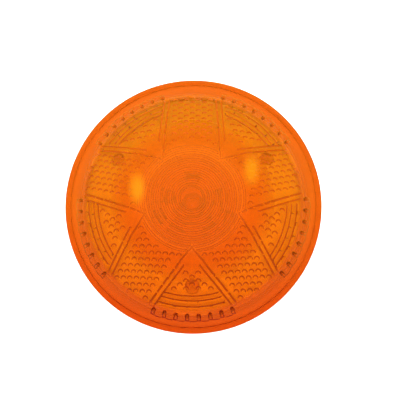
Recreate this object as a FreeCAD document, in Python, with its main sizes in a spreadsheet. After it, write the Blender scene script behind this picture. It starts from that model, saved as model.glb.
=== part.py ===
"""Round, battery-lit raised pavement marker with an amber Fresnel lens.

The marker stands on the road with its underside at Z = 0 and its axis of symmetry on Z.
Lengths are in millimetres and angles in degrees. A shallow base shell carries the battery, the LED
board and a white reflector tray; the domed lens closes it with a three-lug bayonet.
"""

import FreeCAD, Part
import math
import os

import Sketcher

Vector = FreeCAD.Vector
UP = Vector(0, 0, 1)

DOC = FreeCAD.newDocument("pavement_marker")
SHEET = DOC.addObject("Spreadsheet::Sheet", "Dims")

DIMENSIONS = {
    # lens
    "lens_radius": 51.0,
    "total_height": 25.0,
    "rim_plane": 4.0,
    "lens_wall": 2.2,
    "crown_radius": 26.0,
    "crown_drop": 1.0,
    "crown_bend": 338.5,
    "flank_foot_radius": 46.4,
    "flank_foot_z": 6.4,
    "flank_bend": 119.0,
    "inner_knee_radius": 25.3,
    "rim_edge_height": 1.0,
    "lip_height": 1.9,
    "lip_outer_radius": 49.8,
    "lip_inner_radius": 48.9,
    "lip_groove_radius": 48.6,
    "lip_groove_height": 1.6,
    "skirt_inner_radius": 43.4,
    "skirt_outer_radius": 45.2,
    "skirt_bottom_z": 2.0,
    "skirt_root_z": 6.44,
    # Fresnel centre on the lens's inner face
    "fresnel_button_radius": 4.0,
    "fresnel_pitch": 1.76,
    "fresnel_depth": 0.6,
    "fresnel_rings": 9,
    # ribs on the lens's inner face
    "rib_count": 5,
    "rib_apex_radius": 18.6,
    "rib_arm_length": 27.2,
    "rib_arm_angle": 41.0,
    "rib_width": 2.65,
    "rib_web_x": 26.0,
    "rib_height": 0.5,
    # grip notches
    "notch_inner_radius": 43.8,
    "notch_open_radius": 47.0,
    "notch_width": 1.3,
    "notch_floor_z": 6.9,
    "notch_top_z": 12.0,
    "notch_step_angle": 5.8,
    "notches_per_rib": 8,
    # bayonet
    "bayonet_count": 3,
    "lug_angle": 14.0,
    "lug_inner_radius": 42.1,
    "lug_top_z": 3.8,
    "ledge_angle": 15.5,
    "ledge_start_angle": -7.5,
    "ledge_outer_radius": 43.1,
    "ledge_bottom_z": 3.9,
    "ledge_top_z": 5.2,
    "stop_angle": 3.0,
    # base shell
    "base_radius": 50.2,
    "base_bottom_chamfer": 0.6,
    "base_top_z": 3.7,
    "moat_outer_radius": 45.6,
    "moat_floor_z": 1.6,
    "ring_outer_radius": 41.8,
    "ring_inner_radius": 39.8,
    "ring_top_z": 6.0,
    "floor_top_z": 2.6,
    "seal_groove_inner": 46.7,
    "seal_groove_outer": 48.3,
    "seal_groove_z": 2.7,
    "seal_shoulder_z": 3.7,
    # glue pockets in the underside
    "glue_depth": 1.2,
    "glue_sectors": 6,
    "glue_rib": 1.6,
    "glue_inner": 8.0,
    "glue_band": 6.4,
    "glue_boss_inner": 25.0,
    "glue_boss_outer": 40.6,
    "glue_angle": 52.0,
    "glue_boss_angle": 38.0,
    # fixing points
    "post_root_z": 1.0,
    "insert_circle_radius": 34.0,
    "insert_radius": 3.0,
    "insert_bore_radius": 2.0,
    "insert_length": 6.0,
    "insert_boss_radius": 4.0,
    "insert_boss_top_z": 8.0,
    "insert_fit_gap": 0.02,
    # reflector tray and its posts
    "tray_floor_z": 9.2,
    "tray_wall": 1.0,
    "tray_floor_radius": 13.2,
    "tray_land_radius": 17.0,
    "tray_land_z": 15.2,
    "tray_edge_radius": 31.6,
    "tray_foot_radius": 39.6,
    "tray_foot_z": 8.4,
    "tray_flange_radius": 41.0,
    "tray_flange_height": 1.2,
    "tray_post_circle": 33.0,
    "tray_post_radius": 3.0,
    "tray_post_top_z": 5.0,
    "tray_pilot_bottom_z": 1.8,
    "tray_pilot_gap": 0.02,
    "tray_boss_radius": 3.6,
    "tray_boss_bottom_z": 6.6,
    "tray_seat_z": 9.8,
    "tray_seat_radius": 2.8,
    "tray_hole_radius": 1.4,
    "center_window_radius": 4.2,
    "ring_window_length": 4.5,
    "ring_window_width": 3.8,
    "sensor_window_radius": 1.9,
    "switch_window_length": 4.6,
    "switch_window_width": 2.2,
    # tray screws
    "tray_screw_shank_radius": 1.2,
    "tray_screw_head_radius": 2.4,
    "tray_screw_head_height": 1.5,
    "tray_screw_bottom_z": 3.4,
    # battery cells and their carrier
    "cell_radius": 5.1,
    "cell_length": 44.0,
    "cell_offset": 21.0,
    "cell_axis_z": 8.0,
    "nub_radius": 1.9,
    "nub_length": 1.0,
    "crimp_depth": 0.35,
    "crimp_from_end": 3.2,
    "crimp_width": 1.0,
    "trough_radius": 5.3,
    "trough_inner_y": 15.0,
    "trough_outer_y": 26.5,
    "trough_top_z": 8.0,
    "cavity_half_length": 22.6,
    "carrier_half_length": 24.4,
    "end_wall_top_z": 9.6,
    "ear_circle": 31.0,
    "ear_radius": 6.5,
    "ear_bottom_z": 5.0,
    "ear_top_z": 6.6,
    # cell contacts
    "contact_thickness": 0.4,
    "contact_gap": 0.1,
    "contact_width": 7.0,
    "contact_bottom_z": 4.6,
    "contact_top_z": 10.8,
    "strap_width": 1.6,
    "strap_inset": 4.6,
    "strap_foot_width": 2.4,
    # LED board
    "board_radius": 14.2,
    "board_bottom_z": 6.0,
    "board_thickness": 1.6,
    "board_post_circle": 12.2,
    "board_post_radius": 2.0,
    "board_hole_radius": 1.1,
    "board_pilot_radius": 0.8,
    "board_pilot_bottom_z": 3.0,
    "board_screw_shank_radius": 0.75,
    "board_screw_head_radius": 1.8,
    "board_screw_head_height": 1.2,
    "board_screw_bottom_z": 3.2,
    # electronics
    "center_led_size": 5.0,
    "center_led_height": 1.5,
    "center_cup_radius": 2.1,
    "center_cup_depth": 0.5,
    "center_dome_radius": 2.4,
    "ring_led_circle": 8.2,
    "ring_led_length": 3.5,
    "ring_led_width": 2.8,
    "ring_led_height": 0.9,
    "ring_led_dome_radius": 1.2,
    "chip_x": -1.0,
    "chip_y": 4.0,
    "chip_length": 4.9,
    "chip_width": 3.9,
    "chip_height": 1.5,
    "chip_lead_reach": 1.0,
    "chip_lead_width": 0.42,
    "chip_lead_pitch": 1.27,
    "chip_lead_thickness": 0.25,
    "coil_x": 4.5,
    "coil_y": -4.0,
    "coil_size": 5.0,
    "coil_height": 2.6,
    "coil_base_height": 2.0,
    "coil_drum_radius": 2.1,
    "coil_drum_height": 1.0,
    "capacitor_x": -5.0,
    "capacitor_y": -4.5,
    "capacitor_length": 3.2,
    "capacitor_width": 2.5,
    "capacitor_height": 1.8,
    "resistor_length": 2.0,
    "resistor_width": 1.25,
    "resistor_height": 0.5,
    "resistor_circle": 9.8,
    "end_cap_length": 0.4,
    "end_cap_step": 0.05,
    "sensor_radius": 1.6,
    "sensor_body_height": 1.0,
    # power switch
    "switch_circle": 10.9,
    "switch_length": 6.7,
    "switch_width": 2.7,
    "switch_height": 1.4,
    "switch_wall": 0.4,
    "switch_slot_length": 3.9,
    "switch_slot_width": 1.4,
    "slider_plate_length": 2.6,
    "slider_plate_width": 1.5,
    "slider_gap": 0.1,
    "knob_length": 1.4,
    "knob_width": 1.0,
    "knob_top_z": 10.9,
    "switch_travel": 2.0,
    # battery leads
    "lead_radius": 0.6,
}

FIVEFOLD_FIRST = 270.0    # direction of the first rib; its four siblings follow every 72 degrees
FIELD_FIRST = 90.0        # direction of the first lenslet field, between two ribs
CORNER_FIRST = 30.0       # direction of the first corner of the battery triangle
SIDE_FIRST = 90.0         # direction of the first side of the battery triangle
SWITCH_DIRECTION = 198.0
SENSOR_DIRECTION = 342.0

# Each lead's path from its terminal to the board: distance from the marker's middle line, y,
# the part that the height is taken from, and the height of the wire's centre above that part.
LEAD_ROUTE = (
    (2.8, -28.2, "terminal", 0.62),
    (3.0, -24.6, "terminal", 0.62),
    (3.2, -20.2, "terminal", -1.0),
    (3.5, -16.2, "board", 1.0),
    (3.7, -12.7, "board", 0.6),
)

NODES = []


def fill_sheet():
    """Write the driving dimensions as plain numbers, each with an alias."""
    for row, (alias, size) in enumerate(DIMENSIONS.items(), start=1):
        SHEET.set(f"A{row}", str(size))
        SHEET.setAlias(f"A{row}", alias)
    DOC.recompute()


def dim(alias):
    """Expression that reads one cell."""
    return f"Dims.{alias}"


def number(expression):
    """Value of an expression, as a plain number."""
    result = SHEET.evalExpression(str(expression))
    return float(getattr(result, "Value", result))


def polar(radius, angle):
    """Two expressions for the point at a radius and a direction in degrees."""
    return f"({radius}) * cos({angle})", f"({radius}) * sin({angle})"


def board_top():
    """Expression for the height of the board's upper face."""
    return f"{dim('board_bottom_z')} + {dim('board_thickness')}"


def origin_feature(body, role):
    """Origin plane or axis of a body, found by its role."""
    return next(f for f in body.Origin.OriginFeatures if f.Role == role)


def new_body(name):
    """Empty PartDesign body that becomes one node."""
    body = DOC.addObject("PartDesign::Body", name)
    body.Label = name
    return body


def keep(piece, name):
    """Register an object as a finished node."""
    piece.Label = name
    NODES.append(piece)
    return piece


def place(piece, x=0, y=0, z=0, yaw=0.0, tilt_axis=None, tilt=0.0):
    """Bind an object's position to expressions and turn it about Z, after an optional tilt."""
    turn = FreeCAD.Rotation(UP, yaw)
    if tilt_axis is not None:
        turn = turn.multiply(FreeCAD.Rotation(tilt_axis, tilt))
    piece.Placement = FreeCAD.Placement(Vector(number(x), number(y), number(z)), turn)
    for side, expression in zip("xyz", (x, y, z)):
        piece.setExpression(f"Placement.Base.{side}", str(expression))
    return piece


# --- sketches -----------------------------------------------------------------------------------

def new_sketch(body, name, role="XY_Plane", height=None, turn=0.0):
    """Sketch on one of the body's origin planes, raised by height or turned about Z."""
    sketch = body.newObject("Sketcher::SketchObject", name)
    sketch.AttachmentSupport = (origin_feature(body, role), [""])
    sketch.MapMode = "FlatFace"
    spin_axis = UP if role == "XY_Plane" else Vector(0, 1, 0)
    sketch.AttachmentOffset = FreeCAD.Placement(Vector(), FreeCAD.Rotation(spin_axis, turn))
    if height is not None:
        sketch.setExpression("AttachmentOffset.Base.z", height)
    return sketch


def pin_point(sketch, geometry, end, x, y):
    """Tie one end of a sketch edge to expressions for its coordinates."""
    for kind, axis, expression in (("DistanceX", -2, x), ("DistanceY", -1, y)):
        target = number(expression)
        if abs(target) < 1e-9:
            sketch.addConstraint(Sketcher.Constraint("PointOnObject", geometry, end, axis))
        else:
            tie = sketch.addConstraint(Sketcher.Constraint(kind, -1, 1, geometry, end, target))
            sketch.setExpression(f"Constraints[{tie}]", str(expression))


def arc_between(start, end, radius):
    """Arc from start to end that turns left for a positive radius and right for a negative one."""
    chord = end - start
    left = Vector(-chord.y, chord.x, 0).normalize()
    rise = math.sqrt(max(0.0, radius ** 2 - (chord.Length / 2) ** 2))
    centre = (start + end) / 2 + left * math.copysign(rise, radius)
    first, last = (start, end) if radius > 0 else (end, start)
    from_angle, to_angle = (math.atan2(p.y - centre.y, p.x - centre.x) for p in (first, last))
    if to_angle <= from_angle:
        to_angle += 2 * math.pi
    return Part.ArcOfCircle(Part.Circle(centre, UP, abs(radius)), from_angle, to_angle)


def add_outline(sketch, outline):
    """Closed outline whose corners are (x, y) or (x, y, bend), all expressions.

    bend is the radius of the arc that leaves the corner, positive where the arc turns left.
    """
    corners = [Vector(number(corner[0]), number(corner[1]), 0) for corner in outline]
    edges = []
    for index, corner in enumerate(outline):
        start = corners[index]
        end = corners[(index + 1) % len(corners)]
        if len(corner) == 2:
            edges.append((sketch.addGeometry(Part.LineSegment(start, end)), 1, 2))
            continue
        bend = number(corner[2])
        edge = sketch.addGeometry(arc_between(start, end, bend))
        tie = sketch.addConstraint(Sketcher.Constraint("Radius", edge, abs(bend)))
        sketch.setExpression(f"Constraints[{tie}]", f"abs({corner[2]})")
        edges.append((edge, 1, 2) if bend > 0 else (edge, 2, 1))
    for index, (edge, first, last) in enumerate(edges):
        following, following_first, _ = edges[(index + 1) % len(edges)]
        sketch.addConstraint(
            Sketcher.Constraint("Coincident", edge, last, following, following_first))
        pin_point(sketch, edge, first, outline[index][0], outline[index][1])


def add_circle(sketch, x, y, radius):
    """Circle at (x, y), all expressions."""
    circle = Part.Circle(Vector(number(x), number(y), 0), UP, number(radius))
    edge = sketch.addGeometry(circle)
    tie = sketch.addConstraint(Sketcher.Constraint("Radius", edge, number(radius)))
    sketch.setExpression(f"Constraints[{tie}]", str(radius))
    pin_point(sketch, edge, 3, x, y)


def rectangle(low_x, low_y, high_x, high_y):
    """Outline of an upright rectangle."""
    return [(low_x, low_y), (high_x, low_y), (high_x, high_y), (low_x, high_y)]


def centred_rectangle(x, y, length, width):
    """Outline of a rectangle around the point (x, y)."""
    return rectangle(f"{x} - {length} / 2", f"{y} - {width} / 2",
                     f"{x} + {length} / 2", f"{y} + {width} / 2")


# --- PartDesign features ------------------------------------------------------------------------

def finish_feature(body, feature, adds, before):
    """Recompute and check that a feature really added or removed material."""
    body.Tip = feature
    DOC.recompute()
    change = body.Shape.Volume - before
    if (change > 0) != adds or abs(change) < 1e-6:
        raise RuntimeError(f"{body.Label}: {feature.Name} changed the volume by {change:.4f}")
    return feature


def volume_of(body):
    """Volume of a body that may still be empty."""
    return 0.0 if body.Tip is None or body.Shape.isNull() else body.Shape.Volume


def turned(body, name, outlines, kind="PartDesign::Revolution", angle="360", start=0.0,
           role="XZ_Plane", axis="V_Axis"):
    """Revolution or Groove of outlines about a sketch axis, from a start direction."""
    before = volume_of(body)
    sketch = new_sketch(body, f"{name}_section", role, turn=start)
    for outline in outlines:
        add_outline(sketch, outline)
    feature = body.newObject(kind, name)
    feature.Profile = sketch
    feature.ReferenceAxis = (sketch, [axis])
    feature.setExpression("Angle", angle)
    return finish_feature(body, feature, kind.endswith("Revolution"), before)


def raised(body, name, length, height=None, outlines=(), circles=(), turn=0.0):
    """Pad of outlines and circles, upwards from a height."""
    before = volume_of(body)
    sketch = new_sketch(body, f"{name}_sketch", height=height, turn=turn)
    for outline in outlines:
        add_outline(sketch, outline)
    for circle in circles:
        add_circle(sketch, *circle)
    feature = body.newObject("PartDesign::Pad", name)
    feature.Profile = sketch
    feature.setExpression("Length", length)
    return finish_feature(body, feature, True, before)


def sunk(body, name, length, height=None, outlines=(), circles=(), turn=0.0, upwards=False):
    """Pocket of outlines and circles, down from a height, or upwards from it."""
    before = volume_of(body)
    sketch = new_sketch(body, f"{name}_sketch", height=height, turn=turn)
    for outline in outlines:
        add_outline(sketch, outline)
    for circle in circles:
        add_circle(sketch, *circle)
    feature = body.newObject("PartDesign::Pocket", name)
    feature.Profile = sketch
    feature.Reversed = upwards
    feature.setExpression("Length", length)
    return finish_feature(body, feature, False, before)


def around(body, feature, count, adds):
    """Polar pattern of one feature about Z."""
    before = body.Shape.Volume
    pattern = body.newObject("PartDesign::PolarPattern", f"{feature.Name}_ring")
    pattern.Originals = [feature]
    pattern.Axis = (origin_feature(body, "Z_Axis"), [""])
    pattern.Angle = 360
    pattern.setExpression("Occurrences", str(count))
    return finish_feature(body, pattern, adds, before)


# --- Part primitives ----------------------------------------------------------------------------

def new_box(name, length, width, height, x="0", y="0", z="0"):
    """Box centred on (x, y) that stands on z; all expressions."""
    box = DOC.addObject("Part::Box", name)
    box.setExpression("Length", length)
    box.setExpression("Width", width)
    box.setExpression("Height", height)
    return place(box, f"{x} - ({length}) / 2", f"{y} - ({width}) / 2", z)


def new_cylinder(name, radius, height, x="0", y="0", z="0"):
    """Upright cylinder that stands on z."""
    cylinder = DOC.addObject("Part::Cylinder", name)
    cylinder.setExpression("Radius", radius)
    cylinder.setExpression("Height", height)
    return place(cylinder, x, y, z)


def new_dome(name, radius, z):
    """Upper half of a ball, standing on z."""
    dome = DOC.addObject("Part::Sphere", name)
    dome.setExpression("Radius", radius)
    dome.Angle1 = 0
    return place(dome, z=z)


def fused(name, pieces):
    """One solid of several overlapping ones."""
    union = DOC.addObject("Part::MultiFuse", name)
    union.Shapes = pieces
    return union


def cut(name, base, tool):
    """Base with the tool taken away."""
    difference = DOC.addObject("Part::Cut", name)
    difference.Base = base
    difference.Tool = tool
    return difference


# --- lens ---------------------------------------------------------------------------------------

def crown_height(radius, depth):
    """Expression for the height of the crown at a radius, at a depth below the outer face."""
    bend = f"({dim('crown_bend')} - ({depth}))"
    return f"{dim('total_height')} - {depth} - ({bend} - sqrt({bend} ^ 2 - ({radius}) ^ 2))"


def build_lens():
    """Domed amber cover with Fresnel centre, ribs, grip notches, skirt and bayonet lugs."""
    shell = new_body("lens_shell")
    wall = dim("lens_wall")
    crown_z = f"{dim('total_height')} - {dim('crown_drop')}"
    lip_z = f"{dim('rim_plane')} + {dim('lip_height')}"
    groove_z = f"{dim('rim_plane')} + {dim('lip_groove_height')}"
    section = [
        ("0", f"{dim('total_height')} - {wall}", f"-({dim('crown_bend')} - {wall})"),
        (dim("inner_knee_radius"), crown_height(dim("inner_knee_radius"), wall),
         f"-({dim('flank_bend')} - {wall})"),
        (dim("skirt_inner_radius"), dim("skirt_root_z")),
        (dim("skirt_inner_radius"), dim("skirt_bottom_z")),
        (dim("skirt_outer_radius"), dim("skirt_bottom_z")),
        (dim("skirt_outer_radius"), dim("rim_plane")),
        (dim("lens_radius"), dim("rim_plane")),
        (dim("lens_radius"), f"{dim('rim_plane')} + {dim('rim_edge_height')}"),
        (dim("lip_outer_radius"), lip_z),
        (dim("lip_inner_radius"), lip_z),
        (dim("lip_groove_radius"), groove_z),
        (dim("flank_foot_radius"), dim("flank_foot_z"), dim("flank_bend")),
        (dim("crown_radius"), crown_z, dim("crown_bend")),
        ("0", dim("total_height")),
    ]
    turned(shell, "dome", [section])

    # Fresnel centre: saw-tooth rings cut up into the inner face
    teeth = []
    bed = f"{dim('total_height')} - {wall}"
    for ring in range(int(number(dim("fresnel_rings")))):
        inner = f"{dim('fresnel_button_radius')} + {ring} * {dim('fresnel_pitch')}"
        outer = f"{dim('fresnel_button_radius')} + {ring + 0.92} * {dim('fresnel_pitch')}"
        teeth.append([(inner, f"{bed} - 1"), (outer, f"{bed} - 1"),
                      (outer, f"{bed} + {dim('fresnel_depth')}"), (inner, bed)])
    turned(shell, "fresnel", teeth, "PartDesign::Groove")

    # grip notches: flat-floored slots in the foot of the flank, eight below each rib
    half = f"{dim('notch_width')} / 2"
    notch = [
        (f"{dim('notch_inner_radius')} + {half}", f"-({half})"),
        (dim("notch_open_radius"), f"-({half})"),
        (dim("notch_open_radius"), half),
        (f"{dim('notch_inner_radius')} + {half}", half, f"{half} * 1.04"),
    ]
    per_rib = int(number(dim("notches_per_rib")))
    for step in range(per_rib):
        swing = (step - (per_rib - 1) / 2) * number(dim("notch_step_angle"))
        slot = sunk(shell, f"notch_{step + 1}", f"{dim('notch_top_z')} - {dim('notch_floor_z')}",
                    dim("notch_top_z"), [notch], turn=FIVEFOLD_FIRST + swing)
        around(shell, slot, dim("rib_count"), adds=False)

    # bayonet lugs on the inside of the skirt
    lug = rectangle(dim("lug_inner_radius"), dim("skirt_bottom_z"),
                    f"{dim('skirt_inner_radius')} + 0.5", dim("lug_top_z"))
    lug_start = CORNER_FIRST - number(dim("lug_angle")) / 2
    tooth = turned(shell, "lug", [lug], angle=dim("lug_angle"), start=lug_start)
    around(shell, tooth, dim("bayonet_count"), adds=True)

    # five V-shaped ribs: a thickened layer of the wall, kept only inside the V outlines
    layer = new_body("rib_layer")
    mid = f"({wall} / 2)"
    deep = f"({wall} + {dim('rib_height')})"
    start = f"({dim('rib_apex_radius')} - 2)"
    deep_knee = f"({dim('inner_knee_radius')} - 0.2)"
    mid_knee = f"({dim('crown_radius')} - 0.4)"
    layer_section = [
        (start, crown_height(start, deep)),
        (deep_knee, crown_height(deep_knee, deep), f"-({dim('flank_bend')} - {deep})"),
        (f"{dim('skirt_inner_radius')} + 0.1", f"{dim('skirt_root_z')} - 0.7"),
        (f"{dim('skirt_inner_radius')} + 0.9", f"{dim('skirt_root_z')} + 0.6",
         f"{dim('flank_bend')} - {mid}"),
        (mid_knee, crown_height(mid_knee, mid)),
        (start, crown_height(start, mid)),
    ]
    turned(layer, "layer", [layer_section])

    plan = new_body("rib_plan")
    arm = dim("rib_arm_length")
    lean = dim("rib_arm_angle")
    apex = dim("rib_apex_radius")
    width = dim("rib_width")
    outer_end = (f"{apex} + {arm} * cos({lean})", f"{arm} * sin({lean})")
    inner_end = (f"{outer_end[0]} + {width} * sin({lean})",
                 f"{outer_end[1]} - {width} * cos({lean})")
    web = (dim("rib_web_x"), f"({dim('rib_web_x')} - {apex} - {width} / sin({lean})) * tan({lean})")
    half_outline = [outer_end, inner_end, web]
    chevron = [(apex, "0")] + [(x, f"-({y})") for x, y in half_outline]
    chevron += half_outline[::-1]
    rib = raised(plan, "rib", dim("total_height"), outlines=[chevron], turn=FIVEFOLD_FIRST)
    around(plan, rib, dim("rib_count"), adds=True)

    ribs = DOC.addObject("Part::Common", "ribs")
    ribs.Base = layer
    ribs.Tool = plan
    lens = DOC.addObject("Part::Fuse", "amber_lens")
    lens.Base = shell
    lens.Tool = ribs
    return keep(lens, "amber_lens")


# --- base ---------------------------------------------------------------------------------------

def build_base():
    """Round base shell with floor, moat for the lens skirt, bayonet ledges, bosses and posts."""
    base = new_body("base_shell")
    section = [
        ("0", "0"),
        (f"{dim('base_radius')} - {dim('base_bottom_chamfer')}", "0"),
        (dim("base_radius"), dim("base_bottom_chamfer")),
        (dim("base_radius"), dim("base_top_z")),
        (dim("seal_groove_outer"), dim("base_top_z")),
        (dim("seal_groove_outer"), dim("seal_groove_z")),
        (dim("seal_groove_inner"), dim("seal_groove_z")),
        (dim("seal_groove_inner"), dim("base_top_z")),
        (dim("moat_outer_radius"), dim("base_top_z")),
        (dim("moat_outer_radius"), dim("moat_floor_z")),
        (dim("ring_outer_radius"), dim("moat_floor_z")),
        (dim("ring_outer_radius"), dim("ring_top_z")),
        (dim("ring_inner_radius"), dim("ring_top_z")),
        (dim("ring_inner_radius"), dim("floor_top_z")),
        ("0", dim("floor_top_z")),
    ]
    turned(base, "shell", [section])

    # bayonet ledges and the stops that end the closing turn
    first_ledge = CORNER_FIRST + number(dim("ledge_start_angle"))
    ledge = rectangle(f"{dim('ring_outer_radius')} - 0.5", dim("ledge_bottom_z"),
                      dim("ledge_outer_radius"), dim("ledge_top_z"))
    hook = turned(base, "ledge", [ledge], angle=dim("ledge_angle"), start=first_ledge)
    around(base, hook, dim("bayonet_count"), adds=True)
    stop = rectangle(f"{dim('ring_outer_radius')} - 0.5", f"{dim('moat_floor_z')} - 0.2",
                     dim("ledge_outer_radius"), dim("ledge_top_z"))
    first_stop = first_ledge - number(dim("stop_angle"))
    block = turned(base, "stop", [stop], angle=dim("stop_angle"), start=first_stop)
    around(base, block, dim("bayonet_count"), adds=True)

    # bosses over the anchor inserts, and the posts of tray and board
    root = dim("post_root_z")
    boss_at = polar(dim("insert_circle_radius"), SIDE_FIRST)
    boss = raised(base, "insert_boss", f"{dim('insert_boss_top_z')} - {root}", root,
                  circles=[(*boss_at, dim("insert_boss_radius"))])
    around(base, boss, 3, adds=True)
    tray_at = polar(dim("tray_post_circle"), CORNER_FIRST)
    tray_post = raised(base, "tray_post", f"{dim('tray_post_top_z')} - {root}", root,
                       circles=[(*tray_at, dim("tray_post_radius"))])
    around(base, tray_post, 3, adds=True)
    board_at = polar(dim("board_post_circle"), CORNER_FIRST)
    board_post = raised(base, "board_post", f"{dim('board_bottom_z')} - {root}", root,
                        circles=[(*board_at, dim("board_post_radius"))])
    around(base, board_post, 3, adds=True)

    # holes: inserts from below, screws from above
    socket = sunk(base, "insert_socket", dim("insert_length"), "0", upwards=True,
                  circles=[(*boss_at, f"{dim('insert_radius')} + {dim('insert_fit_gap')}")])
    around(base, socket, 3, adds=False)
    pilot_radius = f"{dim('tray_screw_shank_radius')} + {dim('tray_pilot_gap')}"
    tray_pilot = sunk(base, "tray_pilot",
                      f"{dim('tray_post_top_z')} - {dim('tray_pilot_bottom_z')}",
                      dim("tray_post_top_z"), circles=[(*tray_at, pilot_radius)])
    around(base, tray_pilot, 3, adds=False)
    board_pilot = sunk(base, "board_pilot",
                       f"{dim('board_bottom_z')} - {dim('board_pilot_bottom_z')}",
                       dim("board_bottom_z"), circles=[(*board_at, dim("board_pilot_radius"))])
    around(base, board_pilot, 3, adds=False)

    # glue pockets: rings of shallow cells, narrower where the inserts are
    depth = dim("glue_depth")
    inner_cells = []
    for band in range(2):
        low = f"{dim('glue_inner')} + {band} * ({dim('glue_band')} + {dim('glue_rib')})"
        inner_cells.append(rectangle(low, "0", f"{low} + {dim('glue_band')}", depth))
    cell = turned(base, "glue_cell", inner_cells, "PartDesign::Groove", dim("glue_angle"),
                  start=CORNER_FIRST - number(dim("glue_angle")) / 2)
    around(base, cell, dim("glue_sectors"), adds=False)
    outer_cell = rectangle(dim("glue_boss_inner"), "0", dim("glue_boss_outer"), depth)
    wide = turned(base, "glue_outer_cell", [outer_cell], "PartDesign::Groove",
                  dim("glue_boss_angle"), start=0 - number(dim("glue_boss_angle")) / 2)
    around(base, wide, dim("glue_sectors"), adds=False)
    keep(base, "base_shell")

    for index in range(3):
        x, y = polar(dim("insert_circle_radius"), SIDE_FIRST + 120 * index)
        sleeve = new_cylinder(f"insert_sleeve_{index + 1}", dim("insert_radius"),
                              dim("insert_length"), x, y)
        bore = new_cylinder(f"insert_bore_{index + 1}", dim("insert_bore_radius"),
                            dim("insert_length"), x, y)
        keep(cut(f"anchor_insert_{index + 1}_cut", sleeve, bore), f"anchor_insert_{index + 1}")


def build_seal():
    """Silicone ring with a rounded crown that meets the lens rim."""
    seal = new_body("lens_seal")
    middle = f"({dim('seal_groove_outer')} + {dim('seal_groove_inner')}) / 2"
    half = number(f"({dim('seal_groove_outer')} - {dim('seal_groove_inner')}) / 2")
    rise = number(f"{dim('rim_plane')} - {dim('seal_shoulder_z')}")
    crown = (half ** 2 + rise ** 2) / (2 * rise)
    section = [
        (dim("seal_groove_inner"), dim("seal_groove_z")),
        (dim("seal_groove_outer"), dim("seal_groove_z")),
        (dim("seal_groove_outer"), dim("seal_shoulder_z"), str(crown)),
        (middle, dim("rim_plane"), str(crown)),
        (dim("seal_groove_inner"), dim("seal_shoulder_z")),
    ]
    turned(seal, "ring", [section])
    return keep(seal, "lens_seal")


# --- reflector ----------------------------------------------------------------------------------

def build_tray():
    """White reflector: a bowl round the LEDs, a land over the cells and a sloping outer skirt."""
    tray = new_body("reflector_tray")
    wall = dim("tray_wall")
    floor_top = f"{dim('tray_floor_z')} + {wall}"
    land_bottom = f"{dim('tray_land_z')} - {wall} * 1.2"
    flange_top = f"{dim('ring_top_z')} + {dim('tray_flange_height')}"
    section = [
        ("0", dim("tray_floor_z")),
        (dim("tray_floor_radius"), dim("tray_floor_z")),
        (f"{dim('tray_land_radius')} + 0.6", land_bottom),
        (f"{dim('tray_edge_radius')} - 0.6", land_bottom),
        (f"{dim('tray_foot_radius')} - {wall}", f"{dim('tray_foot_z')} - {wall} / 2"),
        (f"{dim('tray_foot_radius')} - {wall}", dim("ring_top_z")),
        (dim("tray_flange_radius"), dim("ring_top_z")),
        (dim("tray_flange_radius"), flange_top),
        (dim("tray_foot_radius"), dim("tray_foot_z")),
        (dim("tray_edge_radius"), dim("tray_land_z")),
        (dim("tray_land_radius"), dim("tray_land_z")),
        (f"{dim('tray_floor_radius')} - 0.6", floor_top),
        ("0", floor_top),
    ]
    turned(tray, "bowl", [section])

    # screw bosses, trimmed to the sloping skirt, with a counterbored seat for each head
    seat_at = polar(dim("tray_post_circle"), CORNER_FIRST)
    boss = raised(tray, "screw_boss", f"{dim('tray_land_z')} - {dim('tray_boss_bottom_z')}",
                  dim("tray_boss_bottom_z"), circles=[(*seat_at, dim("tray_boss_radius"))])
    around(tray, boss, 3, adds=True)
    above_skirt = [
        (dim("tray_edge_radius"), dim("tray_land_z")),
        (dim("tray_foot_radius"), dim("tray_foot_z")),
        (dim("tray_foot_radius"), f"{dim('tray_land_z')} + 1"),
        (dim("tray_edge_radius"), f"{dim('tray_land_z')} + 1"),
    ]
    turned(tray, "skirt_trim", [above_skirt], "PartDesign::Groove")
    seat = sunk(tray, "screw_seat", f"{dim('tray_land_z')} + 1 - {dim('tray_seat_z')}",
                f"{dim('tray_land_z')} + 1", circles=[(*seat_at, dim("tray_seat_radius"))])
    around(tray, seat, 3, adds=False)
    hole = sunk(tray, "screw_hole", dim("tray_land_z"), dim("tray_land_z"),
                circles=[(*seat_at, dim("tray_hole_radius"))])
    around(tray, hole, 3, adds=False)

    # windows for the LEDs, the switch knob and the dusk sensor
    through = f"{wall} + 2"
    above_floor = f"{floor_top} + 1"
    sunk(tray, "center_window", through, above_floor,
         circles=[("0", "0", dim("center_window_radius"))])
    led_window = centred_rectangle(dim("ring_led_circle"), "0", dim("ring_window_width"),
                                   dim("ring_window_length"))
    window = sunk(tray, "ring_window", through, above_floor, [led_window], turn=FIELD_FIRST)
    around(tray, window, dim("rib_count"), adds=False)
    knob_window = centred_rectangle(dim("switch_circle"), "0", dim("switch_window_width"),
                                    dim("switch_window_length"))
    sunk(tray, "switch_window", through, above_floor, [knob_window], turn=SWITCH_DIRECTION)
    sensor_at = polar(dim("switch_circle"), SENSOR_DIRECTION)
    sunk(tray, "sensor_window", through, above_floor,
         circles=[(*sensor_at, dim("sensor_window_radius"))])
    return keep(tray, "reflector_tray")


# --- power --------------------------------------------------------------------------------------

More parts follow.
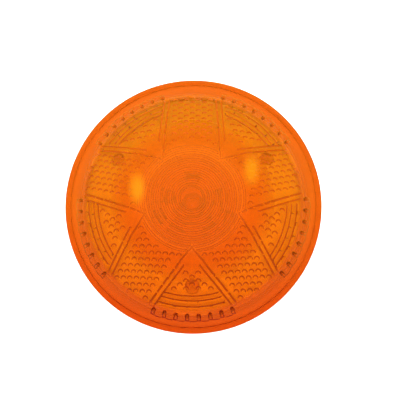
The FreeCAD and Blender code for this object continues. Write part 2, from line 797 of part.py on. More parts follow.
def build_carrier():
    """Three half-round troughs with end walls, joined by ears at the corners of the triangle."""
    carrier = new_body("battery_carrier")
    half = dim("carrier_half_length")
    inner = dim("trough_inner_y")
    outer = dim("trough_outer_y")
    trough = raised(carrier, "trough", f"{dim('trough_top_z')} - {dim('floor_top_z')}",
                    dim("floor_top_z"), [rectangle(f"-{half}", inner, half, outer)])
    around(carrier, trough, 3, adds=True)
    wall_base = f"{dim('trough_top_z')} - 0.5"
    near = dim("cavity_half_length")
    walls = [rectangle(f"-{half}", inner, f"-{near}", outer), rectangle(near, inner, half, outer)]
    end_walls = raised(carrier, "end_walls", f"{dim('end_wall_top_z')} - ({wall_base})", wall_base,
                       walls)
    around(carrier, end_walls, 3, adds=True)
    ear = raised(carrier, "ear", f"{dim('ear_top_z')} - {dim('ear_bottom_z')}",
                 dim("ear_bottom_z"),
                 circles=[(*polar(dim("ear_circle"), CORNER_FIRST), dim("ear_radius"))])
    around(carrier, ear, 3, adds=True)

    # each cell's cavity, turned about the cell's own axis
    before = carrier.Shape.Volume
    sketch = new_sketch(carrier, "cavity_sketch", "YZ_Plane")
    add_circle(sketch, dim("cell_offset"), dim("cell_axis_z"), dim("trough_radius"))
    cavity = carrier.newObject("PartDesign::Pocket", "cavity")
    cavity.Profile = sketch
    cavity.Midplane = True
    cavity.setExpression("Length", f"2 * {dim('cavity_half_length')}")
    finish_feature(carrier, cavity, False, before)
    around(carrier, cavity, 3, adds=False)
    screw_at = polar(dim("tray_post_circle"), CORNER_FIRST)
    hole = sunk(carrier, "ear_hole", "5", dim("trough_top_z"),
                circles=[(*screw_at, dim("tray_hole_radius"))])
    around(carrier, hole, 3, adds=False)
    return keep(carrier, "battery_carrier")


def side_turn(index):
    """Angle that turns the first side of the battery triangle onto another."""
    return 120.0 * index


def build_cells():
    """Three AAA-size cells, nose to tail round the triangle."""
    half = f"{dim('cell_length')} / 2"
    can_end = f"{half} - {dim('nub_length')}"
    radius = dim("cell_radius")
    crimp = f"{can_end} - {dim('crimp_from_end')}"
    crimp_end = f"{crimp} + {dim('crimp_width')}"
    crimp_radius = f"{radius} - {dim('crimp_depth')}"
    profile = [
        (f"-({half})", "0"),
        (half, "0"),
        (half, dim("nub_radius")),
        (can_end, dim("nub_radius")),
        (can_end, f"{radius} - 0.5"),
        (f"{can_end} - 0.5", radius),
        (crimp_end, radius),
        (f"{crimp_end} - 0.3", crimp_radius),
        (f"{crimp} + 0.3", crimp_radius),
        (crimp, radius),
        (f"-({half} - 0.4)", radius),
        (f"-({half})", f"{radius} - 0.4"),
    ]
    for index in range(3):
        cell = new_body(f"battery_cell_{index + 1}")
        turned(cell, f"can_{index + 1}", [profile], role="XY_Plane", axis="H_Axis")
        x, y = polar(dim("cell_offset"), SIDE_FIRST + side_turn(index))
        place(cell, x, y, dim("cell_axis_z"), yaw=side_turn(index))
        keep(cell, f"battery_cell_{index + 1}")


def build_contact(name, end, index):
    """Upright contact plate with a foot for its strap, at the + or - end of one cell."""
    sign = "" if end > 0 else "-"
    face = f"{dim('cell_length')} / 2 + {dim('contact_gap')}"
    foot_z = f"{dim('contact_top_z')} - {dim('contact_thickness')}"
    foot_y = f"{dim('cell_offset')} - {dim('strap_inset')} - {dim('strap_width')} / 2"
    plate = new_box(f"{name}_plate", dim("contact_thickness"), dim("contact_width"),
                    f"{dim('contact_top_z')} - {dim('contact_bottom_z')}",
                    f"{sign}({face} + {dim('contact_thickness')} / 2)", dim("cell_offset"),
                    dim("contact_bottom_z"))
    foot = new_box(f"{name}_foot", dim("strap_width"), dim("strap_foot_width"),
                   dim("contact_thickness"), f"{sign}({face} + {dim('strap_width')} / 2)",
                   f"{foot_y} + {dim('strap_foot_width')} / 2", foot_z)
    return place(fused(f"{name}_contact", [plate, foot]), yaw=side_turn(index))


def build_contacts():
    """Two links that put neighbouring cells in series, and the terminals of the open corner."""
    reach = f"({dim('cell_length')} / 2 + {dim('contact_gap')} + {dim('strap_width')} / 2)"
    inset = f"({dim('cell_offset')} - {dim('strap_inset')})"
    along = f"{reach} * cos({CORNER_FIRST}) + {inset} * sin({CORNER_FIRST})"
    span = f"2 * ({inset} * cos({CORNER_FIRST}) - {reach} * sin({CORNER_FIRST}))"
    for link, (plus_cell, minus_cell) in enumerate(((0, 2), (1, 0)), start=1):
        plus = build_contact(f"link_{link}_plus", 1, plus_cell)
        minus = build_contact(f"link_{link}_minus", -1, minus_cell)
        bar = new_box(f"link_{link}_bar", dim("strap_width"), span, dim("contact_thickness"))
        direction = CORNER_FIRST + side_turn(plus_cell)
        bar_arm = f"({along} - {dim('strap_width')} / 2)"
        bar_side = f"(-({span}) / 2)"
        place(bar, f"{bar_arm} * cos({direction}) - {bar_side} * sin({direction})",
              f"{bar_arm} * sin({direction}) + {bar_side} * cos({direction})",
              f"{dim('contact_top_z')} - {dim('contact_thickness')}", yaw=direction)
        keep(fused(f"link_{link}", [plus, bar, minus]), f"cell_link_{link}")
    keep(build_contact("plus", 1, 2), "terminal_plus")
    keep(build_contact("minus", -1, 1), "terminal_minus")


def lead_path(points):
    """Straight runs joined by tangent arcs, each arc as large as its two runs allow."""
    edges = []
    start = points[0]
    for before, corner, after in zip(points, points[1:], points[2:]):
        back = before - corner
        ahead = after - corner
        turn = math.pi - back.getAngle(ahead)
        setback = 0.45 * min(back.Length, ahead.Length)
        radius = setback / math.tan(turn / 2)
        entry = corner + Vector(back).normalize() * setback
        leave = corner + Vector(ahead).normalize() * setback
        middle_line = (Vector(back).normalize() + Vector(ahead).normalize()).normalize()
        middle = corner + middle_line * (radius / math.cos(turn / 2) - radius)
        edges.append(Part.LineSegment(start, entry).toShape())
        edges.append(Part.Arc(entry, middle, leave).toShape())
        start = leave
    edges.append(Part.LineSegment(start, points[-1]).toShape())
    return Part.Wire(edges)


def build_leads():
    """Red and black leads from the terminals, down between the troughs, onto the LED board."""
    radius = number(dim("lead_radius"))
    supports = {"terminal": number(dim("contact_top_z")), "board": number(board_top())}
    for name, side in (("battery_lead_red", -1), ("battery_lead_black", 1)):
        points = [Vector(side * away, y, supports[support] + lift)
                  for away, y, support, lift in LEAD_ROUTE]
        path = lead_path(points)
        ring = Part.Circle(points[0], points[1] - points[0], radius).toShape()
        solid = path.makePipeShell([Part.Wire(ring)], True, True)
        ideal = math.pi * radius ** 2 * path.Length
        if abs(solid.Volume / ideal - 1) > 0.01:
            raise RuntimeError(f"{name}: volume {solid.Volume:.3f}, section times length {ideal:.3f}")
        lead = DOC.addObject("Part::Feature", name)
        lead.Shape = solid
        keep(lead, name)


# --- LED board ----------------------------------------------------------------------------------

def build_board():
    """Round circuit board with three screw holes."""
    board = new_body("led_board")
    raised(board, "disc", dim("board_thickness"), dim("board_bottom_z"),
           circles=[("0", "0", dim("board_radius"))])
    hole = sunk(board, "screw_hole", f"{dim('board_thickness')} + 1", f"{board_top()} + 0.5",
                circles=[(*polar(dim("board_post_circle"), CORNER_FIRST),
                          dim("board_hole_radius"))])
    around(board, hole, 3, adds=False)
    keep(board, "led_board")


def build_center_led():
    """High-power LED: a ceramic package with a cup, and its clear silicone dome."""
    top = f"{board_top()} + {dim('center_led_height')}"
    package = new_box("center_package", dim("center_led_size"), dim("center_led_size"),
                      dim("center_led_height"), z=board_top())
    cup = new_cylinder("center_cup", dim("center_cup_radius"), dim("center_cup_depth"),
                       z=f"{top} - {dim('center_cup_depth')}")
    keep(cut("center_led_cut", package, cup), "center_led")
    keep(new_dome("center_dome", dim("center_dome_radius"), top), "center_led_dome")


def build_ring_leds():
    """Five smaller LEDs, one below each lenslet field, each with a ballast resistor below."""
    cap_height = f"{dim('resistor_height')} + {dim('end_cap_step')}"
    for index in range(int(number(dim("rib_count")))):
        direction = FIELD_FIRST + 72 * index
        package = new_box(f"ring_package_{index + 1}", dim("ring_led_width"),
                          dim("ring_led_length"), dim("ring_led_height"))
        dome = new_dome(f"ring_dome_{index + 1}", dim("ring_led_dome_radius"),
                        dim("ring_led_height"))
        led = fused(f"ring_led_{index + 1}_fused", [package, dome])
        place(led, *polar(dim("ring_led_circle"), direction), board_top(), yaw=direction)
        keep(led, f"ring_led_{index + 1}")

        body = new_box(f"resistor_body_{index + 1}", dim("resistor_width"),
                       f"{dim('resistor_length')} - 2 * {dim('end_cap_length')}",
                       dim("resistor_height"))
        caps = [new_box(f"resistor_cap_{index + 1}_{side}", dim("resistor_width"),
                        dim("end_cap_length"), cap_height, "0",
                        f"{sign}({dim('resistor_length')} - {dim('end_cap_length')}) / 2")
                for side, sign in (("left", "-"), ("right", ""))]
        resistor = fused(f"resistor_{index + 1}_fused", [body, *caps])
        below = f"{dim('board_bottom_z')} - ({cap_height})"
        place(resistor, *polar(dim("resistor_circle"), direction), below, yaw=direction)
        keep(resistor, f"ballast_resistor_{index + 1}")


def build_driver():
    """Driver chip, inductor and input capacitor on the underside of the board."""
    board_bottom = dim("board_bottom_z")
    chip_x, chip_y = dim("chip_x"), dim("chip_y")
    chip_parts = [new_box("chip_body", dim("chip_length"), dim("chip_width"),
                          f"{dim('chip_height')} - 0.1", chip_x, chip_y,
                          f"{board_bottom} - {dim('chip_height')}")]
    for side, sign in (("front", "-"), ("back", "")):
        for pin in range(4):
            chip_parts.append(new_box(
                f"chip_pin_{side}_{pin + 1}", dim("chip_lead_width"),
                f"{dim('chip_lead_reach')} + 0.4", dim("chip_lead_thickness"),
                f"{chip_x} + {pin - 1.5} * {dim('chip_lead_pitch')}",
                f"{chip_y} + {sign}({dim('chip_width')} + {dim('chip_lead_reach')}) / 2",
                f"{board_bottom} - {dim('chip_lead_thickness')}"))
    keep(fused("chip", chip_parts), "driver_chip")

    coil_base = new_box("coil_base", dim("coil_size"), dim("coil_size"),
                        dim("coil_base_height"), dim("coil_x"), dim("coil_y"),
                        f"{board_bottom} - {dim('coil_base_height')}")
    coil_drum = new_cylinder("coil_drum", dim("coil_drum_radius"), dim("coil_drum_height"),
                             dim("coil_x"), dim("coil_y"),
                             f"{board_bottom} - {dim('coil_height')}")
    keep(fused("coil", [coil_base, coil_drum]), "inductor")

    step = dim("end_cap_step")
    body_height = f"{dim('capacitor_height')} - {step}"
    capacitor = [new_box("capacitor_body", dim("capacitor_length"),
                         f"{dim('capacitor_width')} - 2 * {step}", body_height,
                         dim("capacitor_x"), dim("capacitor_y"),
                         f"{board_bottom} - ({body_height})")]
    for side, sign in (("left", "-"), ("right", "")):
        offset = f"{sign}({dim('capacitor_length')} - {dim('end_cap_length')}) / 2"
        capacitor.append(new_box(
            f"capacitor_cap_{side}", dim("end_cap_length"), dim("capacitor_width"),
            dim("capacitor_height"), f"{dim('capacitor_x')} + {offset}", dim("capacitor_y"),
            f"{board_bottom} - {dim('capacitor_height')}"))
    keep(fused("capacitor", capacitor), "input_capacitor")


def build_sensor():
    """Dusk sensor: a round phototransistor that looks up through the tray."""
    base = new_cylinder("sensor_base", dim("sensor_radius"), dim("sensor_body_height"))
    dome = new_dome("sensor_dome", dim("sensor_radius"), dim("sensor_body_height"))
    sensor = fused("sensor", [base, dome])
    place(sensor, *polar(dim("switch_circle"), SENSOR_DIRECTION), board_top())
    keep(sensor, "dusk_sensor")


def build_switch():
    """Slide switch: a housing with a slotted lid, and a knob on a plate that runs inside it."""
    wall = dim("switch_wall")
    outside = new_box("switch_outside", dim("switch_width"), dim("switch_length"),
                      dim("switch_height"))
    cavity = new_box("switch_cavity", f"{dim('switch_width')} - 2 * {wall}",
                     f"{dim('switch_length')} - 2 * {wall}", f"{dim('switch_height')} - 2 * {wall}",
                     z=wall)
    slot = new_box("switch_slot", dim("switch_slot_width"), dim("switch_slot_length"), "1",
                   z=f"{dim('switch_height')} - {wall} - 0.1")
    hollow = fused("switch_hollow", [cavity, slot])
    housing = cut("switch_housing", outside, hollow)
    seat = polar(dim("switch_circle"), SWITCH_DIRECTION)
    place(housing, *seat, board_top(), yaw=SWITCH_DIRECTION)
    keep(housing, "power_switch_housing")

    plate_z = f"{board_top()} + {wall} + {dim('slider_gap')} / 2"
    plate = new_box("slider_plate", dim("slider_plate_width"), dim("slider_plate_length"),
                    f"{dim('switch_height')} - 2 * {wall} - {dim('slider_gap')}")
    knob = new_box("slider_knob", dim("knob_width"), dim("knob_length"),
                   f"{dim('knob_top_z')} - ({plate_z})")
    slider = fused("slider", [plate, knob])
    back = f"(-{dim('switch_travel')} / 2)"
    place(slider, f"{seat[0]} - {back} * sin({SWITCH_DIRECTION})",
          f"{seat[1]} + {back} * cos({SWITCH_DIRECTION})", plate_z, yaw=SWITCH_DIRECTION)
    keep(slider, "power_switch_slider")


# --- screws -------------------------------------------------------------------------------------

def build_screws(name, circle, seat_z, bottom_z, head_radius, head_height, shank_radius):
    """Three equal cross-head screws on a circle, as separate solids of one node."""
    screws = []
    for index in range(3):
        tag = f"{name}_{index + 1}"
        head = new_cylinder(f"{tag}_head", head_radius, head_height, z=seat_z)
        shank = new_cylinder(f"{tag}_shank", shank_radius, f"{seat_z} + 0.2 - ({bottom_z})",
                             z=bottom_z)
        recess_z = f"{seat_z} + {head_height} * 0.4"
        bars = [new_box(f"{tag}_bar_{way}", *sizes, head_height, z=recess_z)
                for way, sizes in (("x", (f"{head_radius} * 1.2", f"{head_radius} * 0.26")),
                                   ("y", (f"{head_radius} * 0.26", f"{head_radius} * 1.2")))]
        blank = fused(f"{tag}_blank", [head, shank])
        screw = cut(tag, blank, fused(f"{tag}_recess", bars))
        direction = CORNER_FIRST + side_turn(index)
        screws.append(place(screw, *polar(circle, direction), yaw=direction + 25 * index))
    group = DOC.addObject("Part::Compound", name)
    group.Links = screws
    keep(group, name)


# --- whole marker -------------------------------------------------------------------------------

def check_and_export():
    """Stop on any failed object or bad shape, then write one STEP file for each node."""
    DOC.recompute()
    for piece in DOC.Objects:
        if "Invalid" in piece.State or "Error" in piece.State:
            raise RuntimeError(f"{piece.Name} failed: {piece.State}")
    os.makedirs("parts", exist_ok=True)
    for node in NODES:
        shape = node.Shape
        if shape.isNull() or not shape.isValid() or not shape.Solids:
            raise RuntimeError(f"{node.Label} has no valid solid")
        shape.exportStep(f"parts/{node.Label}.step")
        print(f"{node.Label}: {len(shape.Solids)} solid(s), {shape.Volume:.1f} mm3")


fill_sheet()
build_lens()
build_base()
build_seal()
build_tray()
build_carrier()
build_cells()
build_contacts()
build_leads()
build_board()
build_center_led()
build_ring_leds()
build_driver()
build_sensor()
build_switch()
build_screws("tray_screws", dim("tray_post_circle"), dim("tray_seat_z"),
             dim("tray_screw_bottom_z"), dim("tray_screw_head_radius"),
             dim("tray_screw_head_height"), dim("tray_screw_shank_radius"))
build_screws("board_screws", dim("board_post_circle"), board_top(), dim("board_screw_bottom_z"),
             dim("board_screw_head_radius"), dim("board_screw_head_height"),
             dim("board_screw_shank_radius"))
check_and_export()
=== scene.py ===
"""Looks of the round amber pavement marker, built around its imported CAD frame."""

import math

import bmesh
import bpy
from mathutils import Matrix, Vector
from mathutils.geometry import delaunay_2d_cdt


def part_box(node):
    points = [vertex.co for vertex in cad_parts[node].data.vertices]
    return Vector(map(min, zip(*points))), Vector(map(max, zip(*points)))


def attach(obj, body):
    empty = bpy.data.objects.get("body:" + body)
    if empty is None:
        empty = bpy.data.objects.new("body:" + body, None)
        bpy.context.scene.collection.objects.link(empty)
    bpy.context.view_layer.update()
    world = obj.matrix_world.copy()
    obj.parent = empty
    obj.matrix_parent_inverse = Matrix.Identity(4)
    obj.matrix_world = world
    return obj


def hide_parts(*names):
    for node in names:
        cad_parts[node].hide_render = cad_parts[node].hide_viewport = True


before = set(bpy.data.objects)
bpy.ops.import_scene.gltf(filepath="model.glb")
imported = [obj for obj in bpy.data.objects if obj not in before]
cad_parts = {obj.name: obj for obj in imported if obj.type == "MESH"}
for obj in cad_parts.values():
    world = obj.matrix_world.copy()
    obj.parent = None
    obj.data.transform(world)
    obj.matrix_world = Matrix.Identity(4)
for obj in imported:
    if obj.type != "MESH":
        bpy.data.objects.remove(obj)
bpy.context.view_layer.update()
MM = 0.001

# --- sizes of the lens, in millimetres ------------------------------------------------------------

# the overall box is the CAD node's own; the rest follows the CAD lens's section
LENS_LOW, LENS_HIGH = (tuple(side / MM for side in corner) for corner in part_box("amber_lens"))
RIM_RADIUS = LENS_HIGH[0]
TOP = LENS_HIGH[2]
SKIRT_BOTTOM = LENS_LOW[2]
SKIRT_LENGTH = 2.0
RIM_PLANE = SKIRT_BOTTOM + SKIRT_LENGTH
WALL = 2.2
CROWN_RADIUS = 26.0
CROWN_BEND = 338.5
SHOULDER_BLEND = 0.8
FLANK_FOOT = (46.4, RIM_PLANE + 2.4)
FLANK_BEND = 119.0
BAND_EDGE = (48.6, RIM_PLANE + 1.6)
LIP_TOP = RIM_PLANE + 1.9
LIP_FOOT_RADIUS = 48.75
LIP_FOOT_DROP = 0.12
LIP_INNER = 49.0
LIP_OUTER = 49.6
RIM_ROUND = 1.1
RIM_ROUND_STEPS = 5
RIM_CHAMFER = 0.15
SKIRT_CHAMFER = 0.1
SKIRT_INNER = 43.4
SKIRT_OUTER = 45.2
LUG_INNER = 42.1
LUG_TOP = 3.8
LUG_CENTRES = (30, 150, 270)     # degrees
LUG_HALF_ANGLE = 6.5

# five Vs of ribs on the inner face, each with a solid web at its point
RIBS = 5
RIB_FIRST = 270.0
RIB_ANGLES = [math.radians(RIB_FIRST + 360 / RIBS * index) for index in range(RIBS)]
RIB_APEX = 18.6
RIB_LEAN = math.radians(41.0)
RIB_WIDTH = 2.65
RIB_END = 42.9
RIB_HEIGHT = 0.5
RIB_DRAFT = 0.72
RIB_CLEAR = 0.25                 # room that rings leave round a rib
SEAM_RADIUS = 26.0

# Fresnel centre: place within a pitch, width, drop, and whether the flank is painted dark as shade
FRESNEL_EDGE = 21.2
FRESNEL_PITCH = 1.76
FRESNEL_TEETH = ((0.0, 0.26, 0.30, True), (FRESNEL_PITCH / 2, 0.14, 0.14, False))
BUTTON_RADIUS = 4.2

# lenslets: scoops on hexagonal lattices
FIELD_PITCH = 2.62
FIELD_INNER_GAP = 0.3
INSIDE_PITCH = 2.72
INSIDE_LIMIT = 36.0
PIN_RADIUS = 1.15
PIN_CLEAR = PIN_RADIUS + 0.12
PIN_SIDES = 14
PIN_CIRCLE = [(math.cos(2 * math.pi * i / PIN_SIDES), math.sin(2 * math.pi * i / PIN_SIDES))
              for i in range(PIN_SIDES)]
PIN_WALL = 0.37
PIN_SHIFT = 0.24
PIN_DEPTH = 0.30
PIN_LOOPS = ((1.0, 0.0), (0.62, 0.06), (0.30, 0.09), (0.0, 0.10))   # share of reach, added depth
PIN_SHADE_NEAR = 0.2             # sine past which a scoop's deep wall is painted dark as shade, near half
PIN_SHADE_FAR = 0.7              # the same in the far half
LATTICE_COLUMNS = range(-8, 9)
LATTICE_ROWS = range(6, 18)

# curved steps inside each V
STEP_RADII = (36.2, 37.9, 40.0)
STEP_WIDTH = 0.4
STEP_DROP = 0.42
STEP_CLEAR = 0.35

# grip notches sunk into the foot of the outer face, in rows of eight
NOTCHES = 8
NOTCH_STEP = math.radians(5.8)
NOTCH_WIDTH = 1.6
NOTCH_INNER = 43.5
NOTCH_OPEN = 46.3
NOTCH_FLOOR = 7.3
NOTCH_DRAFT = 0.34
NOTCH_NOSE_STEPS = 8
NOTCH_LINE = (-0.05, 0.25)       # inner and outer edge of the line of painted shade past the notches' open ends
NOTCH_LINE_GAP = 0.1

# how closely curves are divided
COLUMNS = 300                    # points round every full circle that closes the lens
CROWN_COLUMNS = 180
CROWN_COLUMNS_LIMIT = 40.0
SHOULDER_STEP = 0.5
SHOULDER_STEPS = range(-3, 4)
FLANK_RINGS = (35.0, 41.0, FLANK_FOOT[0] + 0.25, 47.5)
OUTLINE_STEP = 0.9
NOTCH_OUTLINE_STEP = 0.5
RING_STEP = 0.8
RING_LEAST = 48
GROUND_MARGIN = 0.6
OUTER_GROUND = (1.7, 0.8)        # spacing of plain points, and room round the features
INNER_GROUND = (1.1, 0.42)
GROUND_CELL = 0.6                # side of a search cell, as a share of the spacing
GROUND_LEAST = 6
RIB_TOP_INSET = 0.3              # how far inside a rib's outline its flat top begins
CLOSE = 0.01                     # heights and radii this near are the same
SAME_POINT = 1e-5
MERGE_DISTANCE = 2e-6            # metres
SHARP_ANGLE = math.radians(24)

# kinds of face on the lens, numbered as its materials are
# the edge kinds are painted shade: dark amber on the walls of the relief and on fine lines
OUTER_FACE, INNER_FACE, SHADE_PAINTED_EDGES, SKIRT, SHADE_PAINTED_NOTCHES = range(5)


def flank_centre():
    """Centre of the arc that draws the outer flank, in the (radius, height) plane."""
    r0, z0 = CROWN_RADIUS, crown_height(CROWN_RADIUS, 0.0)
    r1, z1 = FLANK_FOOT
    chord = math.hypot(r1 - r0, z1 - z0)
    rise = math.sqrt(FLANK_BEND ** 2 - chord ** 2 / 4)
    return ((r0 + r1) / 2 - rise * (z0 - z1) / chord, (z0 + z1) / 2 - rise * (r1 - r0) / chord)


def crown_height(radius, depth):
    """Height of the crown's sphere at a radius, at a depth below the outer face."""
    bend = CROWN_BEND - depth
    return TOP - depth - (bend - math.sqrt(bend ** 2 - radius ** 2))


FLANK_R, FLANK_Z = flank_centre()


def face_height(radius, depth):
    """Height of the lens's outer face, or of the face at a depth below it."""
    bend = FLANK_BEND - depth
    flank = FLANK_Z + math.sqrt(max(0.0, bend ** 2 - (radius - FLANK_R) ** 2))
    crown = crown_height(radius, depth)
    overlap = max(0.0, SHOULDER_BLEND - abs(crown - flank)) / SHOULDER_BLEND
    height = min(crown, flank) - overlap ** 2 * SHOULDER_BLEND / 4
    if radius > FLANK_FOOT[0] and depth == 0.0:
        share = (radius - FLANK_FOOT[0]) / (BAND_EDGE[0] - FLANK_FOOT[0])
        height = FLANK_FOOT[1] + share * (BAND_EDGE[1] - FLANK_FOOT[1])
    return height


# --- plan of the ribs -----------------------------------------------------------------------------

def rib_frame(x, y):
    """A point turned into the nearest rib's own frame, with the rib's axis on +X and y positive."""
    radius = math.hypot(x, y)
    spacing = 2 * math.pi / RIBS
    angle = (math.atan2(y, x) - math.radians(RIB_FIRST)) % spacing
    angle = min(angle, spacing - angle)
    return radius, radius * math.cos(angle), radius * math.sin(angle)


def rib_depth(x, y):
    """How far a point lies inside the outer edge line of the nearest V, negative outside it."""
    _, along, across = rib_frame(x, y)
    return (along - RIB_APEX) * math.sin(RIB_LEAN) - across * math.cos(RIB_LEAN)


def rib_gap(x, y):
    """Rough distance from a point to the nearest rib, zero or negative on it."""
    radius = math.hypot(x, y)
    depth = rib_depth(x, y)
    if radius > RIB_END:
        return radius - RIB_END
    if radius < SEAM_RADIUS:
        return -depth
    return max(-depth, depth - RIB_WIDTH)


def edge_point(offset, radius):
    """Point at a radius on the line that runs inside the V's outer edge at an offset."""
    start = RIB_APEX + offset / math.sin(RIB_LEAN)
    cosine, sine = math.cos(RIB_LEAN), math.sin(RIB_LEAN)
    reach = -start * cosine + math.sqrt(radius ** 2 - (start * sine) ** 2)
    return start + reach * cosine, reach * sine


def spread(start, end, step):
    """Points from start up to, but without, end, about a step apart."""
    count = max(1, round(math.dist(start, end) / step))
    return [tuple(a + (b - a) * i / count for a, b in zip(start, end)) for i in range(count)]


def arc_points(radius, first, last, step):
    """Points on a circle about the centre, from one angle up to, but without, another."""
    count = max(2, round(abs(last - first) * radius / step))
    angles = [first + (last - first) * i / count for i in range(count)]
    return [(radius * math.cos(a), radius * math.sin(a)) for a in angles]


def rib_outline(inset):
    """Closed outline of one V with its solid web, drawn in by an inset."""
    web_radius = SEAM_RADIUS - inset
    outer_end = edge_point(inset, RIB_END - inset)
    inner_end = edge_point(RIB_WIDTH - inset, RIB_END - inset)
    web_end = edge_point(RIB_WIDTH - inset, web_radius)
    tip = (RIB_APEX + inset / math.sin(RIB_LEAN), 0.0)
    half = spread(tip, outer_end, OUTLINE_STEP)
    half += spread(outer_end, inner_end, OUTLINE_STEP)
    half += spread(inner_end, web_end, OUTLINE_STEP)
    half.append(web_end)
    web_angle = math.atan2(web_end[1], web_end[0])
    web = arc_points(web_radius, web_angle, -web_angle, OUTLINE_STEP)[1:]
    mirrored = [(x, -y) for x, y in reversed(half[1:])]
    return half + web + mirrored


def turn(points, angle):
    """Points turned about the centre."""
    cosine, sine = math.cos(angle), math.sin(angle)
    return [(x * cosine - y * sine, x * sine + y * cosine) for x, y in points]


# --- sheets: plan drawings that are lifted to a height --------------------------------------------

class Sheet:
    """A plan of points with heights and lines between them, triangulated as one surface."""

    def __init__(self, depth):
        self.depth = depth
        self.points = []
        self.heights = []
        self.lines = []
        self.marks = []
        self.walls = 0

    def new_wall(self):
        """Number for a wall: its upper loop carries it, its lower loop the negative."""
        self.walls += 1
        return self.walls

    def height(self, x, y):
        """Height of the plain surface over a point of the plan."""
        return face_height(math.hypot(x, y), self.depth)

    def add(self, point, drop=0.0, height=None, mark=0):
        """Adds one point, at a height of its own or at a drop below the plain surface."""
        self.points.append(Vector(point))
        self.marks.append(mark)
        self.heights.append(self.height(*point) - drop if height is None else height)
        return len(self.points) - 1

    def path(self, points, drop=0.0, heights=None, closed=True, mark=0):
        """Adds points joined by lines; drop lowers them below the plain surface."""
        ids = [self.add(p, drop, None if heights is None else h, mark)
               for p, h in zip(points, heights or [None] * len(points))]
        self.lines += list(zip(ids, ids[1:] + ids[:1] if closed else ids[1:]))
        return ids

    def triangles(self):
        """Vertices in 3-D, triangles, and for each triangle whether it belongs to a marked wall,
        which is painted dark as shade.
        """
        points, _, faces, origins, _, _ = delaunay_2d_cdt(
            self.points, self.lines, [], 0, SAME_POINT, True)
        verts = []
        for point, origin in zip(points, origins):
            height = self.heights[origin[0]] if origin else self.height(*point)
            verts.append((point.x, point.y, height))
        marks = [self.marks[origin[0]] if origin else 0 for origin in origins]
        shade_painted = []
        for face in faces:
            found = {marks[i] for i in face} - {0}
            shade_painted.append(any(-mark in found for mark in found))
        return verts, [tuple(face) for face in faces], shade_painted


def full_circle(radius, count=COLUMNS):
    """Points right round a circle, at the columns' angles."""
    step = 2 * math.pi / count
    return [(radius * math.cos(i * step), radius * math.sin(i * step)) for i in range(count)]


def pieces_outside_ribs(points):
    """Cuts a closed ring of points into the open runs that keep clear of the ribs."""
    free = [rib_gap(x, y) > RIB_CLEAR for x, y in points]
    if all(free):
        return [points], True
    start = next(i for i in range(len(points)) if free[i] and not free[i - 1])
    runs, run = [], []
    for i in range(len(points)):
        index = (start + i) % len(points)
        if free[index]:
            run.append(points[index])
        elif run:
            runs.append(run)
            run = []
    if run:
        runs.append(run)
    return [r for r in runs if len(r) > 1], False


def add_ring(sheet, radius, drop, mark):
    """Ring at a drop below the surface, broken where ribs stand in its way."""
    ring = full_circle(radius, max(RING_LEAST, round(2 * math.pi * radius / RING_STEP)))
    runs, closed = pieces_outside_ribs(ring)
    for run in runs:
        sheet.path(run, drop, closed=closed, mark=mark)


# --- inner face -----------------------------------------------------------------------------------

def add_pin(sheet, x, y):
    """Lenslet: a small scoop, deep against one broad wall and running out to nothing opposite."""
    wall = sheet.new_wall()
    shade_from = PIN_SHADE_NEAR if y < 0 else PIN_SHADE_FAR
    reach = PIN_RADIUS - PIN_WALL
    for share, dome in PIN_LOOPS:
        flat = [(x + share * reach * c, y - PIN_SHIFT + share * reach * s) for c, s in PIN_CIRCLE]
        depths = [PIN_DEPTH * (1 + share * s) / 2 + dome for _, s in PIN_CIRCLE]
        if share == 0.0:
            flat, depths = flat[:1], depths[:1]
        ids = sheet.path(flat, heights=[sheet.height(*p) + d for p, d in zip(flat, depths)])
        if share == 1.0:
            # the deep wall's side past a sine is marked to be painted dark as shade, more of it in
            # the near half
            for i, (_, s) in zip(ids, PIN_CIRCLE):
                sheet.marks[i] = -wall if s > shade_from else 0
    opening = [(x + PIN_RADIUS * c, y + PIN_RADIUS * s) for c, s in PIN_CIRCLE]
    sheet.path(opening, mark=wall)


def lattice(direction, pitch, low, high):
    """Hexagonal lattice with one axis along a direction, between two radii."""
    points = []
    column_step = pitch * math.cos(math.radians(30))
    for column in LATTICE_COLUMNS:
        shift = pitch / 2 if column % 2 else 0.0
        for row in LATTICE_ROWS:
            points.append((row * pitch + shift, column * column_step))
    return [p for p in turn(points, direction) if low <= math.hypot(*p) <= high]


def add_lenslets(sheet):
    """Fields of lenslets between the Vs and inside them."""
    for direction in RIB_ANGLES:
        between = lattice(direction + math.pi / RIBS, FIELD_PITCH,
                          FRESNEL_EDGE + PIN_CLEAR + FIELD_INNER_GAP, SKIRT_INNER - PIN_CLEAR)
        inside = lattice(direction, INSIDE_PITCH, SEAM_RADIUS + PIN_CLEAR, INSIDE_LIMIT - PIN_CLEAR)
        for x, y in between:
            if rib_depth(x, y) < -PIN_CLEAR:
                add_pin(sheet, x, y)
        for x, y in inside:
            if rib_depth(x, y) > RIB_WIDTH + PIN_CLEAR:
                add_pin(sheet, x, y)


def add_ribs(sheet):
    """The Vs, with drafted sides painted dark as shade; the web's own end has no painted edge of
    its own.
    """
    inset = rib_outline(RIB_DRAFT)
    web_end = SEAM_RADIUS - RIB_DRAFT
    for angle in RIB_ANGLES:
        wall = sheet.new_wall()
        sheet.path(turn(rib_outline(0.0), angle), mark=wall)
        ids = sheet.path(turn(inset, angle), RIB_HEIGHT)
        for i, (x, y) in zip(ids, inset):
            web = abs(math.hypot(x, y) - web_end) < CLOSE and x > abs(y)
            sheet.marks[i] = 0 if web else -wall


def add_fresnel(sheet):
    """Fresnel centre: saw-tooth rings with finer ones between."""
    radius = BUTTON_RADIUS
    while radius < FRESNEL_EDGE:
        for shift, width, drop, shade_marked in FRESNEL_TEETH:
            place = radius + shift
            if place < FRESNEL_EDGE:
                # the main rings' flanks are marked to be painted dark as shade
                wall = sheet.new_wall() if shade_marked else 0
                add_ring(sheet, place, 0.0, wall)
                add_ring(sheet, place + width, drop, -wall)
        radius += FRESNEL_PITCH


